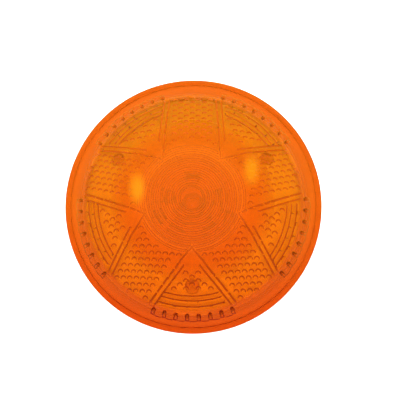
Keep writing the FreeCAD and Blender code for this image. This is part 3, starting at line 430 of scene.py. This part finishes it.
def add_steps(sheet):
    """Curved steps inside each V, near its open end, with their walls painted dark as shade."""
    for angle in RIB_ANGLES:
        for step_radius in STEP_RADII:
            wall = sheet.new_wall()
            for radius, drop, mark in ((step_radius, 0.0, wall),
                                       (step_radius + STEP_WIDTH, STEP_DROP, -wall)):
                along, across = edge_point(RIB_WIDTH + STEP_CLEAR, radius)
                half = math.atan2(across, along)
                arc = arc_points(radius, -half, half, OUTLINE_STEP)
                sheet.path(turn(arc, angle), drop, closed=False, mark=mark)


def add_ground(sheet, limit, step, keep_clear):
    """Plain points between the features, so that no triangle spans far over the curve."""
    taken = {}
    cell = step * GROUND_CELL
    for point in sheet.points:
        taken.setdefault((round(point.x / cell), round(point.y / cell)), []).append(point)
    for row in range(1, int(limit / step) + 1):
        radius = row * step
        count = max(GROUND_LEAST, round(2 * math.pi * radius / step))
        for x, y in full_circle(radius, count):
            kx, ky = round(x / cell), round(y / cell)
            near = [p for dx in (-1, 0, 1) for dy in (-1, 0, 1)
                    for p in taken.get((kx + dx, ky + dy), ())]
            if all((p.x - x) ** 2 + (p.y - y) ** 2 > keep_clear ** 2 for p in near):
                on_rib = sheet.depth and rib_gap(x, y) < -RIB_TOP_INSET
                sheet.add((x, y), RIB_HEIGHT if on_rib else 0.0)


def build_inner_sheet():
    """Inner face of the lens: lenslet fields, ribs, Fresnel centre and steps."""
    sheet = Sheet(WALL)
    add_lenslets(sheet)
    add_ribs(sheet)
    add_fresnel(sheet)
    add_steps(sheet)
    sheet.path(full_circle(SKIRT_INNER))
    add_ground(sheet, SKIRT_INNER - GROUND_MARGIN, *INNER_GROUND)
    return sheet


# --- outer face -----------------------------------------------------------------------------------

def notch_outline(inset):
    """Outline of one notch on +X, drawn in by an inset: a round nose inward, square outward."""
    nose = NOTCH_WIDTH / 2 - inset
    centre = NOTCH_INNER + NOTCH_WIDTH / 2
    open_end = NOTCH_OPEN - inset
    angles = [math.pi * k / NOTCH_NOSE_STEPS for k in range(NOTCH_NOSE_STEPS + 1)]
    outline = spread((open_end, -nose), (centre, -nose), NOTCH_OUTLINE_STEP)
    outline += [(centre - nose * math.sin(a), -nose * math.cos(a)) for a in angles]
    outline += spread((centre, nose), (open_end, nose), NOTCH_OUTLINE_STEP)[1:]
    outline.append((open_end, nose))
    return outline


def add_notch(sheet, angle):
    """One notch: its rim on the face and its flat floor, with the wall between painted dark as
    shade.
    """
    wall = sheet.new_wall()
    rim = turn(notch_outline(0.0), angle)
    sheet.path(rim, heights=[sheet.height(*p) for p in rim], mark=wall)
    floor = turn(notch_outline(NOTCH_DRAFT), angle)
    sheet.path(floor, heights=[min(sheet.height(*p), NOTCH_FLOOR) for p in floor], mark=-wall)


def add_notch_line(sheet, middle):
    """Fine line of painted shade past the open ends of a row of notches, on the flat face."""
    wall = sheet.new_wall()
    inner, outer = (NOTCH_OPEN + shift for shift in NOTCH_LINE)
    reach = NOTCHES / 2 * NOTCH_STEP
    sheet.path(arc_points(outer, middle - reach, middle + reach, RING_STEP),
               closed=False, mark=-wall)
    gap = NOTCH_STEP / 2 - (NOTCH_WIDTH / 2 + NOTCH_LINE_GAP) / NOTCH_OPEN
    for step in range(NOTCHES - 1):
        angle = middle + (step - (NOTCHES - 2) / 2) * NOTCH_STEP
        sheet.path(arc_points(inner, angle - gap, angle + gap, NOTCH_OUTLINE_STEP),
                   closed=False, mark=wall)


def build_outer_sheet():
    """Outer face of the lens up to the lip: smooth, with the grip notches sunk into its foot."""
    sheet = Sheet(0.0)
    for middle in RIB_ANGLES:
        for step in range(NOTCHES):
            add_notch(sheet, middle + (step - (NOTCHES - 1) / 2) * NOTCH_STEP)
        add_notch_line(sheet, middle)
    shoulder_rings = tuple(CROWN_RADIUS + SHOULDER_STEP * step for step in SHOULDER_STEPS)
    for radius in shoulder_rings + FLANK_RINGS:
        sheet.path(full_circle(radius, CROWN_COLUMNS if radius < CROWN_COLUMNS_LIMIT else COLUMNS))
    sheet.path(full_circle(BAND_EDGE[0]))
    add_ground(sheet, BAND_EDGE[0] - GROUND_MARGIN, *OUTER_GROUND)
    return sheet


# --- rim, skirt and the closed lens ---------------------------------------------------------------

def lathe_rows():
    """Section of the lip, rim and skirt's outside, as radii and heights from the band's edge."""
    rows = [BAND_EDGE, (LIP_FOOT_RADIUS, LIP_TOP - LIP_FOOT_DROP), (LIP_INNER, LIP_TOP),
            (LIP_OUTER, LIP_TOP)]
    corner_r, corner_z = RIM_RADIUS - RIM_ROUND, LIP_TOP - RIM_ROUND
    for i in range(1, RIM_ROUND_STEPS + 1):
        a = math.radians(90 - 90 / RIM_ROUND_STEPS * i)
        rows.append((corner_r + RIM_ROUND * math.cos(a), corner_z + RIM_ROUND * math.sin(a)))
    rows += [(RIM_RADIUS, RIM_PLANE + RIM_CHAMFER), (RIM_RADIUS - RIM_CHAMFER, RIM_PLANE),
             (SKIRT_OUTER, RIM_PLANE), (SKIRT_OUTER, SKIRT_BOTTOM + SKIRT_CHAMFER),
             (SKIRT_OUTER - SKIRT_CHAMFER, SKIRT_BOTTOM)]
    return rows


def is_lug(angle):
    """Whether a direction in degrees falls on one of the three bayonet lugs."""
    away = [abs((angle - centre + 180) % 360 - 180) for centre in LUG_CENTRES]
    return min(away) < LUG_HALF_ANGLE


def lathe_rings():
    """Rings of radii and heights round the rim and skirt, up the inside past the lugs."""
    rings = [[row] * COLUMNS for row in lathe_rows()]
    lugs = [is_lug(360 * i / COLUMNS) for i in range(COLUMNS)]
    for height in (SKIRT_BOTTOM, LUG_TOP):
        rings.append([(LUG_INNER if lug else SKIRT_INNER, height) for lug in lugs])
    rings.append([(SKIRT_INNER, LUG_TOP)] * COLUMNS)
    rings.append([(SKIRT_INNER, face_height(SKIRT_INNER, WALL))] * COLUMNS)
    return rings


def lathe_mesh(start):
    """Vertices of the rings, quads between them numbered from a start, and the quads' kinds."""
    rings = lathe_rings()
    verts, faces, kinds = [], [], []
    for ring in rings:
        for column, (radius, height) in enumerate(ring):
            angle = 2 * math.pi * column / COLUMNS
            verts.append((radius * math.cos(angle), radius * math.sin(angle), height))
    for row in range(len(rings) - 1):
        low, high = start + row * COLUMNS, start + (row + 1) * COLUMNS
        for c in range(COLUMNS):
            d = (c + 1) % COLUMNS
            face = (low + c, high + c, high + d, low + d)
            faces.append(face)
            # the first row, from the band's edge to the lip's foot, is a dark line of painted shade
            if max(verts[i - start][2] for i in face) <= RIM_PLANE + CLOSE:
                kinds.append(SKIRT)
            else:
                kinds.append(SHADE_PAINTED_EDGES if row == 0 else OUTER_FACE)
    return verts, faces, kinds


def build_lens():
    """The whole lens as one closed mesh."""
    verts, faces, shade_painted = build_outer_sheet().triangles()
    # marked walls get the edge materials, which are painted shade
    kinds = [SHADE_PAINTED_NOTCHES if wall else OUTER_FACE for wall in shade_painted]
    inner_verts, inner_faces, shade_painted = build_inner_sheet().triangles()
    faces += [tuple(len(verts) + i for i in reversed(face)) for face in inner_faces]
    kinds += [SHADE_PAINTED_EDGES if wall else INNER_FACE for wall in shade_painted]
    verts += inner_verts
    rim_verts, rim_faces, rim_kinds = lathe_mesh(len(verts))
    verts += rim_verts
    faces += rim_faces
    kinds += rim_kinds

    mesh = bpy.data.meshes.new("lens_shell")
    work = bmesh.new()
    made = [work.verts.new(tuple(MM * side for side in v)) for v in verts]
    for face, kind in zip(faces, kinds):
        work.faces.new([made[i] for i in face]).material_index = kind
    bmesh.ops.remove_doubles(work, verts=work.verts, dist=MERGE_DISTANCE)
    bmesh.ops.dissolve_degenerate(work, edges=work.edges, dist=MERGE_DISTANCE / 2)
    bmesh.ops.recalc_face_normals(work, faces=work.faces)
    work.to_mesh(mesh)
    work.free()
    mesh.polygons.foreach_set("use_smooth", [True] * len(mesh.polygons))
    mesh.set_sharp_from_angle(angle=SHARP_ANGLE)
    lens = bpy.data.objects.new("lens_shell", mesh)
    bpy.context.scene.collection.objects.link(lens)
    return lens


# --- materials ------------------------------------------------------------------------------------

NOISE_SPAN = (0.3, 0.7)          # where the noise field's values mostly lie
VECTOR_LIMITS = (7, 8, 9, 10)    # a Map Range node's vector sockets for both ranges
VECTOR_INPUT = 6
GRAIN_HEIGHT = 0.0001            # metres
GRAIN_DETAIL = 4.0

# amber polycarbonate: colours at the near and the far edge of the lens, painted shade and light:
# darker and redder at the near edge, paler and yellower at the far one
CLEAR_AMBER = ((1.0, 0.79, 0.21), (1.0, 1.0, 0.34))
BODY_AMBER = ((0.57, 0.074, 0.004), (0.64, 0.170, 0.005))
# walls and lines of painted shade: dark amber, darkest at the near edge
PAINTED_EDGE_SHADE = ((0.13, 0.002, 0.001), (0.74, 0.20, 0.005))
# the notches' walls and line, painted shade in the same way
PAINTED_NOTCH_SHADE = ((0.16, 0.006, 0.001), (0.64, 0.22, 0.005))
AMBER_IOR = 1.58
AMBER_SHEEN = 0.04
AMBER_GRAIN = (60.0, 0.04)
HAZE_ROUGHNESS = (0.22, 0.34)
CLEAR_ROUGHNESS = (0.02, 0.06)
ABSORPTION_COLOUR = (0.947, 0.567, 0.0, 1)
ABSORPTION_DENSITY = 180.0

# painted shade and light: noise for random tone on top of a slope from the darker near edge to the
# paler far one, and the haze, both by shares of the lens's radius where they depend on it
TONE_NOISE = 0.25
PAINTED_SHADE_ENDS = (-0.12, 0.88)
TONE_AND_PAINTED_SHADE_SPAN = (0.1, 1.2)
CAP_RADII = (0.82, 0.88)         # shares of the radius over which the limit of the painted shade and light falls
CAP_LIMITS = (1.5, 0.55)
HAZE_STOPS = (0.38, 0.46, 0.82, 0.85, 0.93, 0.96)   # where middle, ring, foot and rim meet

# two painted pools of light: pale patches in the lens's colour, in millimetres
PAINTED_LIGHT_AMBER = (0.64, 0.30, 0.004)
PAINTED_LIGHT_SPOTS = ((-21.4, 4.2), (23.2, 11.0))
PAINTED_LIGHT_REACH = (0.8, 4.6)
PAINTED_LIGHT_GLOW = 0.6
PAINTED_LIGHT_HAZE = 0.25
PAINTED_LIGHT_SQUEEZE = 0.5

# amber materials in the order of the face kinds: body, haze at the middle, ring, foot and rim
AMBER_LOOKS = (("amber_outer_face", BODY_AMBER, (0.35, 0.20, 0.42, 0.24)),
               ("amber_inner_face", BODY_AMBER, (0.02,) * 4),
               ("amber_painted_edge_shade", PAINTED_EDGE_SHADE, (0.85, 0.92, 0.92, 0.92)),
               ("amber_skirt", BODY_AMBER, (0.85,) * 4),
               ("amber_painted_notch_shade", PAINTED_NOTCH_SHADE, (0.78,) * 4))

# scale and strength of the grain, and how far the roughness drifts either way
PLASTIC_GRAIN = (900.0, 0.25)
PLASTIC_PLAY = (-0.08, 0.08)
METAL_GRAIN = (1500.0, 0.12)
METAL_PLAY = (-0.07, 0.1)

# plastics, rubber and parts: name, pieces that wear it, two colours, roughness
PLASTICS = (
    ("pale_asa", ("base_shell",), (0.80, 0.80, 0.78), (0.88, 0.88, 0.86), 0.5),
    ("white_reflector", ("reflector_tray",), (0.86, 0.86, 0.85), (0.93, 0.93, 0.92), 0.3),
    ("silicone", ("lens_seal",), (0.62, 0.60, 0.56), (0.72, 0.70, 0.66), 0.5),
    ("black_abs", ("battery_carrier",), (0.015, 0.015, 0.016), (0.03, 0.03, 0.032), 0.5),
    ("cell_sleeve", ("battery_cell",), (0.03, 0.16, 0.08), (0.05, 0.22, 0.11), 0.3),
    ("red_wire", ("battery_lead_red",), (0.45, 0.01, 0.01), (0.55, 0.02, 0.02), 0.4),
    ("black_wire", ("battery_lead_black",), (0.01, 0.01, 0.01), (0.02, 0.02, 0.02), 0.4),
    ("white_board", ("led_board",), (0.75, 0.76, 0.74), (0.82, 0.83, 0.81), 0.35),
    ("phosphor", ("center_led", "ring_led"), (0.85, 0.62, 0.10), (0.95, 0.75, 0.18), 0.35),
    ("epoxy", ("driver_chip", "inductor", "ballast_resistor", "power_switch_housing"),
     (0.01, 0.01, 0.011), (0.03, 0.03, 0.032), 0.45),
    ("ceramic", ("input_capacitor",), (0.30, 0.18, 0.09), (0.38, 0.24, 0.13), 0.5),
    ("clear_epoxy", ("dusk_sensor", "center_led_dome"),
     (0.75, 0.78, 0.8), (0.85, 0.87, 0.9), 0.1),
    ("red_knob", ("power_switch_slider",), (0.45, 0.02, 0.015), (0.55, 0.03, 0.02), 0.4),
    ("white_paint", ("tray_screws",), (0.84, 0.84, 0.82), (0.90, 0.90, 0.88), 0.35))
METALS = (
    ("brass", ("anchor_insert",), (0.70, 0.50, 0.20), (0.80, 0.60, 0.28), 0.25),
    ("nickel", ("cell_link", "terminal", "board_screws"),
     (0.62, 0.61, 0.58), (0.75, 0.74, 0.70), 0.28))


def new_material(name):
    """Material with its node tree and its Principled shader."""
    material = bpy.data.materials.new(name)
    material.use_nodes = True
    return material, material.node_tree, material.node_tree.nodes["Principled BSDF"]


def feed(tree, value, socket):
    """Links a node's output to a socket, or sets the socket to a plain value."""
    if isinstance(value, bpy.types.NodeSocket):
        tree.links.new(value, socket)
    else:
        socket.default_value = value


def calculated(tree, kind, operation, port, *values):
    """Output of a node that does arithmetic, on outputs or plain values."""
    node = tree.nodes.new(kind)
    node.operation = operation
    for value, socket in zip(values, node.inputs):
        feed(tree, value, socket)
    return node.outputs[port]


def ranged(tree, value, source, target, smooth=False):
    """Number carried from one range to another."""
    node = tree.nodes.new("ShaderNodeMapRange")
    if smooth:
        node.interpolation_type = "SMOOTHSTEP"
    for name, limit in zip(("From Min", "From Max", "To Min", "To Max"), (*source, *target)):
        node.inputs[name].default_value = limit
    feed(tree, value, node.inputs["Value"])
    return node.outputs["Result"]


def tinted(tree, value, source, colours):
    """Colour that drifts between two as a number runs through a range."""
    node = tree.nodes.new("ShaderNodeMapRange")
    node.data_type = "FLOAT_VECTOR"
    low, high = source
    for index, limit in zip(VECTOR_LIMITS, ((low,) * 3, (high,) * 3, *colours)):
        node.inputs[index].default_value = limit
    feed(tree, value, node.inputs[VECTOR_INPUT])
    return node.outputs[1]


def grain(tree, shader, scale, strength):
    """Fine moulded grain: noise in object space, as a bump. Gives back the noise."""
    place = tree.nodes.new("ShaderNodeTexCoord")
    field = tree.nodes.new("ShaderNodeTexNoise")
    field.inputs["Scale"].default_value = scale
    field.inputs["Detail"].default_value = GRAIN_DETAIL
    bump = tree.nodes.new("ShaderNodeBump")
    bump.inputs["Strength"].default_value = strength
    bump.inputs["Distance"].default_value = GRAIN_HEIGHT
    feed(tree, place.outputs["Object"], field.inputs["Vector"])
    feed(tree, field.outputs["Fac"], bump.inputs["Height"])
    feed(tree, bump.outputs["Normal"], shader.inputs["Normal"])
    return field.outputs["Fac"]


def painted_shade_slope(tree, noise, place):
    """Painted shade and light: a number that grows from the darker near edge of the lens to the
    paler far one, with a little noise for random tone.
    """
    split = tree.nodes.new("ShaderNodeSeparateXYZ")
    feed(tree, place, split.inputs["Vector"])
    reach = RIM_RADIUS * MM
    along = ranged(tree, split.outputs["Y"], (-reach, reach), PAINTED_SHADE_ENDS)
    return calculated(tree, "ShaderNodeMath", "MULTIPLY_ADD", "Value", noise, TONE_NOISE, along)


def painted_light_patches(tree, place):
    """Painted light: a number that rises from nothing towards the middle of each of the two painted
    pools of light.
    """
    flat = calculated(tree, "ShaderNodeVectorMath", "MULTIPLY", "Vector",
                      place, (1.0, PAINTED_LIGHT_SQUEEZE, 0.0))
    reach = tuple(side * MM for side in PAINTED_LIGHT_REACH)
    painted_pools = []
    for x, y in PAINTED_LIGHT_SPOTS:
        away = calculated(tree, "ShaderNodeVectorMath", "DISTANCE", "Value",
                          flat, (x * MM, y * PAINTED_LIGHT_SQUEEZE * MM, 0.0))
        painted_pools.append(ranged(tree, away, reach, (PAINTED_LIGHT_GLOW, 0.0), smooth=True))
    return calculated(tree, "ShaderNodeMath", "ADD", "Value", *painted_pools)


def radius_share(tree, place):
    """Distance from the lens's axis, as a share of its radius."""
    flat = calculated(tree, "ShaderNodeVectorMath", "MULTIPLY", "Vector", place, (1.0, 1.0, 0.0))
    radius = calculated(tree, "ShaderNodeVectorMath", "LENGTH", "Value", flat)
    return calculated(tree, "ShaderNodeMath", "DIVIDE", "Value", radius, RIM_RADIUS * MM)


def haze_ramp(tree, share, hazes):
    """Haze that changes with the distance from the axis."""
    ramp = tree.nodes.new("ShaderNodeValToRGB")
    stops = ramp.color_ramp.elements
    stops.remove(stops[1])
    middle, ring, foot, rim = hazes
    stops[0].position = HAZE_STOPS[0]
    stops[0].color = (middle, middle, middle, 1)
    for position, haze in zip(HAZE_STOPS[1:], (ring, ring, foot, foot, rim)):
        stops.new(position).color = (haze, haze, haze, 1)
    feed(tree, share, ramp.inputs["Fac"])
    return ramp.outputs["Color"]


def amber_plastic(name, body, hazes):
    """Clear amber polycarbonate with some haze; its colour carries painted shade and light across
    the lens and two painted pools of light.
    """
    material, tree, shader = new_material(name)
    output = tree.nodes["Material Output"]
    shader.inputs["Specular IOR Level"].default_value = AMBER_SHEEN
    through = tree.nodes.new("ShaderNodeBsdfRefraction")
    through.inputs["IOR"].default_value = AMBER_IOR
    noise = grain(tree, shader, *AMBER_GRAIN)
    feed(tree, ranged(tree, noise, NOISE_SPAN, HAZE_ROUGHNESS), shader.inputs["Roughness"])
    feed(tree, ranged(tree, noise, NOISE_SPAN, CLEAR_ROUGHNESS), through.inputs["Roughness"])

    # colours: painted shade and light along the lens, darker near and paler far, but not past a
    # limit in the foot and rim
    place = tree.nodes.new("ShaderNodeTexCoord").outputs["Object"]
    share = radius_share(tree, place)
    limit = ranged(tree, share, CAP_RADII, CAP_LIMITS)
    tone_and_painted_shade = calculated(tree, "ShaderNodeMath", "MINIMUM", "Value",
                       painted_shade_slope(tree, noise, place), limit)
    painted_light = painted_light_patches(tree, place)
    # painted light: pale amber mixed into the body colour over the two pools
    painted_light_mix = tree.nodes.new("ShaderNodeMix")
    painted_light_mix.data_type = "RGBA"
    feed(tree, painted_light, painted_light_mix.inputs["Factor"])
    feed(tree, tinted(tree, tone_and_painted_shade, TONE_AND_PAINTED_SHADE_SPAN, body), painted_light_mix.inputs["A"])
    feed(tree, (*PAINTED_LIGHT_AMBER, 1), painted_light_mix.inputs["B"])
    feed(tree, painted_light_mix.outputs["Result"], shader.inputs["Base Color"])
    feed(tree, tinted(tree, tone_and_painted_shade, TONE_AND_PAINTED_SHADE_SPAN, CLEAR_AMBER), through.inputs["Color"])

    # haze: a share of the light meets the body, the rest goes through; the painted pools of light
    # raise the share
    haze = calculated(tree, "ShaderNodeMath", "MULTIPLY_ADD", "Value",
                      painted_light, PAINTED_LIGHT_HAZE, haze_ramp(tree, share, hazes))
    both = tree.nodes.new("ShaderNodeMixShader")
    feed(tree, haze, both.inputs["Fac"])
    feed(tree, through.outputs["BSDF"], both.inputs[1])
    feed(tree, shader.outputs["BSDF"], both.inputs[2])
    feed(tree, both.outputs["Shader"], output.inputs["Surface"])

    absorption = tree.nodes.new("ShaderNodeVolumeAbsorption")
    absorption.inputs["Color"].default_value = ABSORPTION_COLOUR
    absorption.inputs["Density"].default_value = ABSORPTION_DENSITY
    feed(tree, absorption.outputs["Volume"], output.inputs["Volume"])
    return material


def opaque(name, colours, grain_look, roughness, play):
    """Opaque material whose colour and roughness drift with its fine grain."""
    material, tree, shader = new_material(name)
    noise = grain(tree, shader, *grain_look)
    limits = tuple(roughness + side for side in play)
    feed(tree, tinted(tree, noise, NOISE_SPAN, colours), shader.inputs["Base Color"])
    feed(tree, ranged(tree, noise, NOISE_SPAN, limits), shader.inputs["Roughness"])
    return material, shader


def moulded(name, low, high, roughness):
    """Moulded plastic or rubber."""
    material, _ = opaque(name, (low, high), PLASTIC_GRAIN, roughness, PLASTIC_PLAY)
    return material


def metal(name, low, high, roughness):
    """Bare or plated metal with fine tool marks."""
    material, shader = opaque(name, (low, high), METAL_GRAIN, roughness, METAL_PLAY)
    shader.inputs["Metallic"].default_value = 1.0
    return material


def dress(looks, make):
    """Gives each group of CAD nodes its material; a later row wins over an earlier one."""
    for name, prefixes, low, high, roughness in looks:
        material = make(name, low, high, roughness)
        for node_name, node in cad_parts.items():
            if node_name.startswith(prefixes):
                node.data.materials.clear()
                node.data.materials.append(material)


# --- floor, light and camera ----------------------------------------------------------------------

FLOOR_HALF_WIDTH = 1.5
FLOOR_DROP = 0.0002              # metres below the base, so that the two don't touch
FLOOR_WHITE = (0.95, 0.95, 0.95, 1)
FLOOR_ROUGHNESS = 0.8
SURROUND_STRENGTH = 2.6
SOFTBOX_PLACE = (-0.1, 1.1, 1.1)
SOFTBOX_TARGET = (0, 0, 0.01)
SOFTBOX_SIZE = 1.6
SOFTBOX_POWER = 20.0
CAMERA_DISTANCE = 0.75
LEAN_DOWN = math.radians(9.2)
LEAN_RIGHT = math.radians(1.9)
SENSOR_WIDTH = 36.0
MARKER_SHARE = 0.641             # the marker's width as a share of the picture's
VIEW_SHIFT = (0.01675, 0.01525)  # shares of the picture's width


def build_floor():
    """Plain pale floor."""
    mesh = bpy.data.meshes.new("floor")
    work = bmesh.new()
    bmesh.ops.create_grid(work, x_segments=1, y_segments=1, size=FLOOR_HALF_WIDTH)
    work.to_mesh(mesh)
    work.free()
    floor = bpy.data.objects.new("floor", mesh)
    floor.location.z = -FLOOR_DROP
    bpy.context.scene.collection.objects.link(floor)
    material, _, shader = new_material("pale_floor")
    shader.inputs["Base Color"].default_value = FLOOR_WHITE
    shader.inputs["Roughness"].default_value = FLOOR_ROUGHNESS
    mesh.materials.append(material)


def build_softbox():
    """One wide square softbox overhead, a little towards the far side."""
    data = bpy.data.lights.new("softbox", "AREA")
    data.shape = "SQUARE"
    data.size = SOFTBOX_SIZE
    data.energy = SOFTBOX_POWER
    light = bpy.data.objects.new("softbox", data)
    light.location = SOFTBOX_PLACE
    aim = Vector(SOFTBOX_TARGET) - Vector(SOFTBOX_PLACE)
    light.rotation_euler = aim.to_track_quat("-Z", "Y").to_euler()
    bpy.context.scene.collection.objects.link(light)


def build_surroundings():
    """Even white surroundings, shown with plain tones."""
    world = bpy.data.worlds.new("studio")
    world.use_nodes = True
    background = world.node_tree.nodes["Background"]
    background.inputs["Color"].default_value = (1, 1, 1, 1)
    background.inputs["Strength"].default_value = SURROUND_STRENGTH
    bpy.context.scene.world = world
    bpy.context.scene.view_settings.view_transform = "Standard"


def build_camera():
    """Camera almost over the marker, a little below and to the right of its axis."""
    middle = Vector((0.0, 0.0, RIM_PLANE * MM))
    back = Vector((math.tan(LEAN_RIGHT), -math.tan(LEAN_DOWN), 1.0)).normalized()
    data = bpy.data.cameras.new("camera")
    data.sensor_width = SENSOR_WIDTH
    width_in_view = 2 * RIM_RADIUS * MM / MARKER_SHARE
    data.lens = SENSOR_WIDTH * CAMERA_DISTANCE / width_in_view
    data.shift_x, data.shift_y = VIEW_SHIFT
    camera = bpy.data.objects.new("camera", data)
    camera.location = middle + back * CAMERA_DISTANCE
    right = Vector((0, 1, 0)).cross(back).normalized()
    camera.rotation_euler = Matrix((right, back.cross(right), back)).transposed().to_euler()
    bpy.context.scene.collection.objects.link(camera)
    bpy.context.scene.camera = camera


# --- the scene ------------------------------------------------------------------------------------

lens = build_lens()
for material_name, body, hazes in AMBER_LOOKS:
    lens.data.materials.append(amber_plastic(material_name, body, hazes))
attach(lens, "lens")
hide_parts("amber_lens")

dress(PLASTICS, moulded)
dress(METALS, metal)

build_floor()
build_surroundings()
build_softbox()
build_camera()
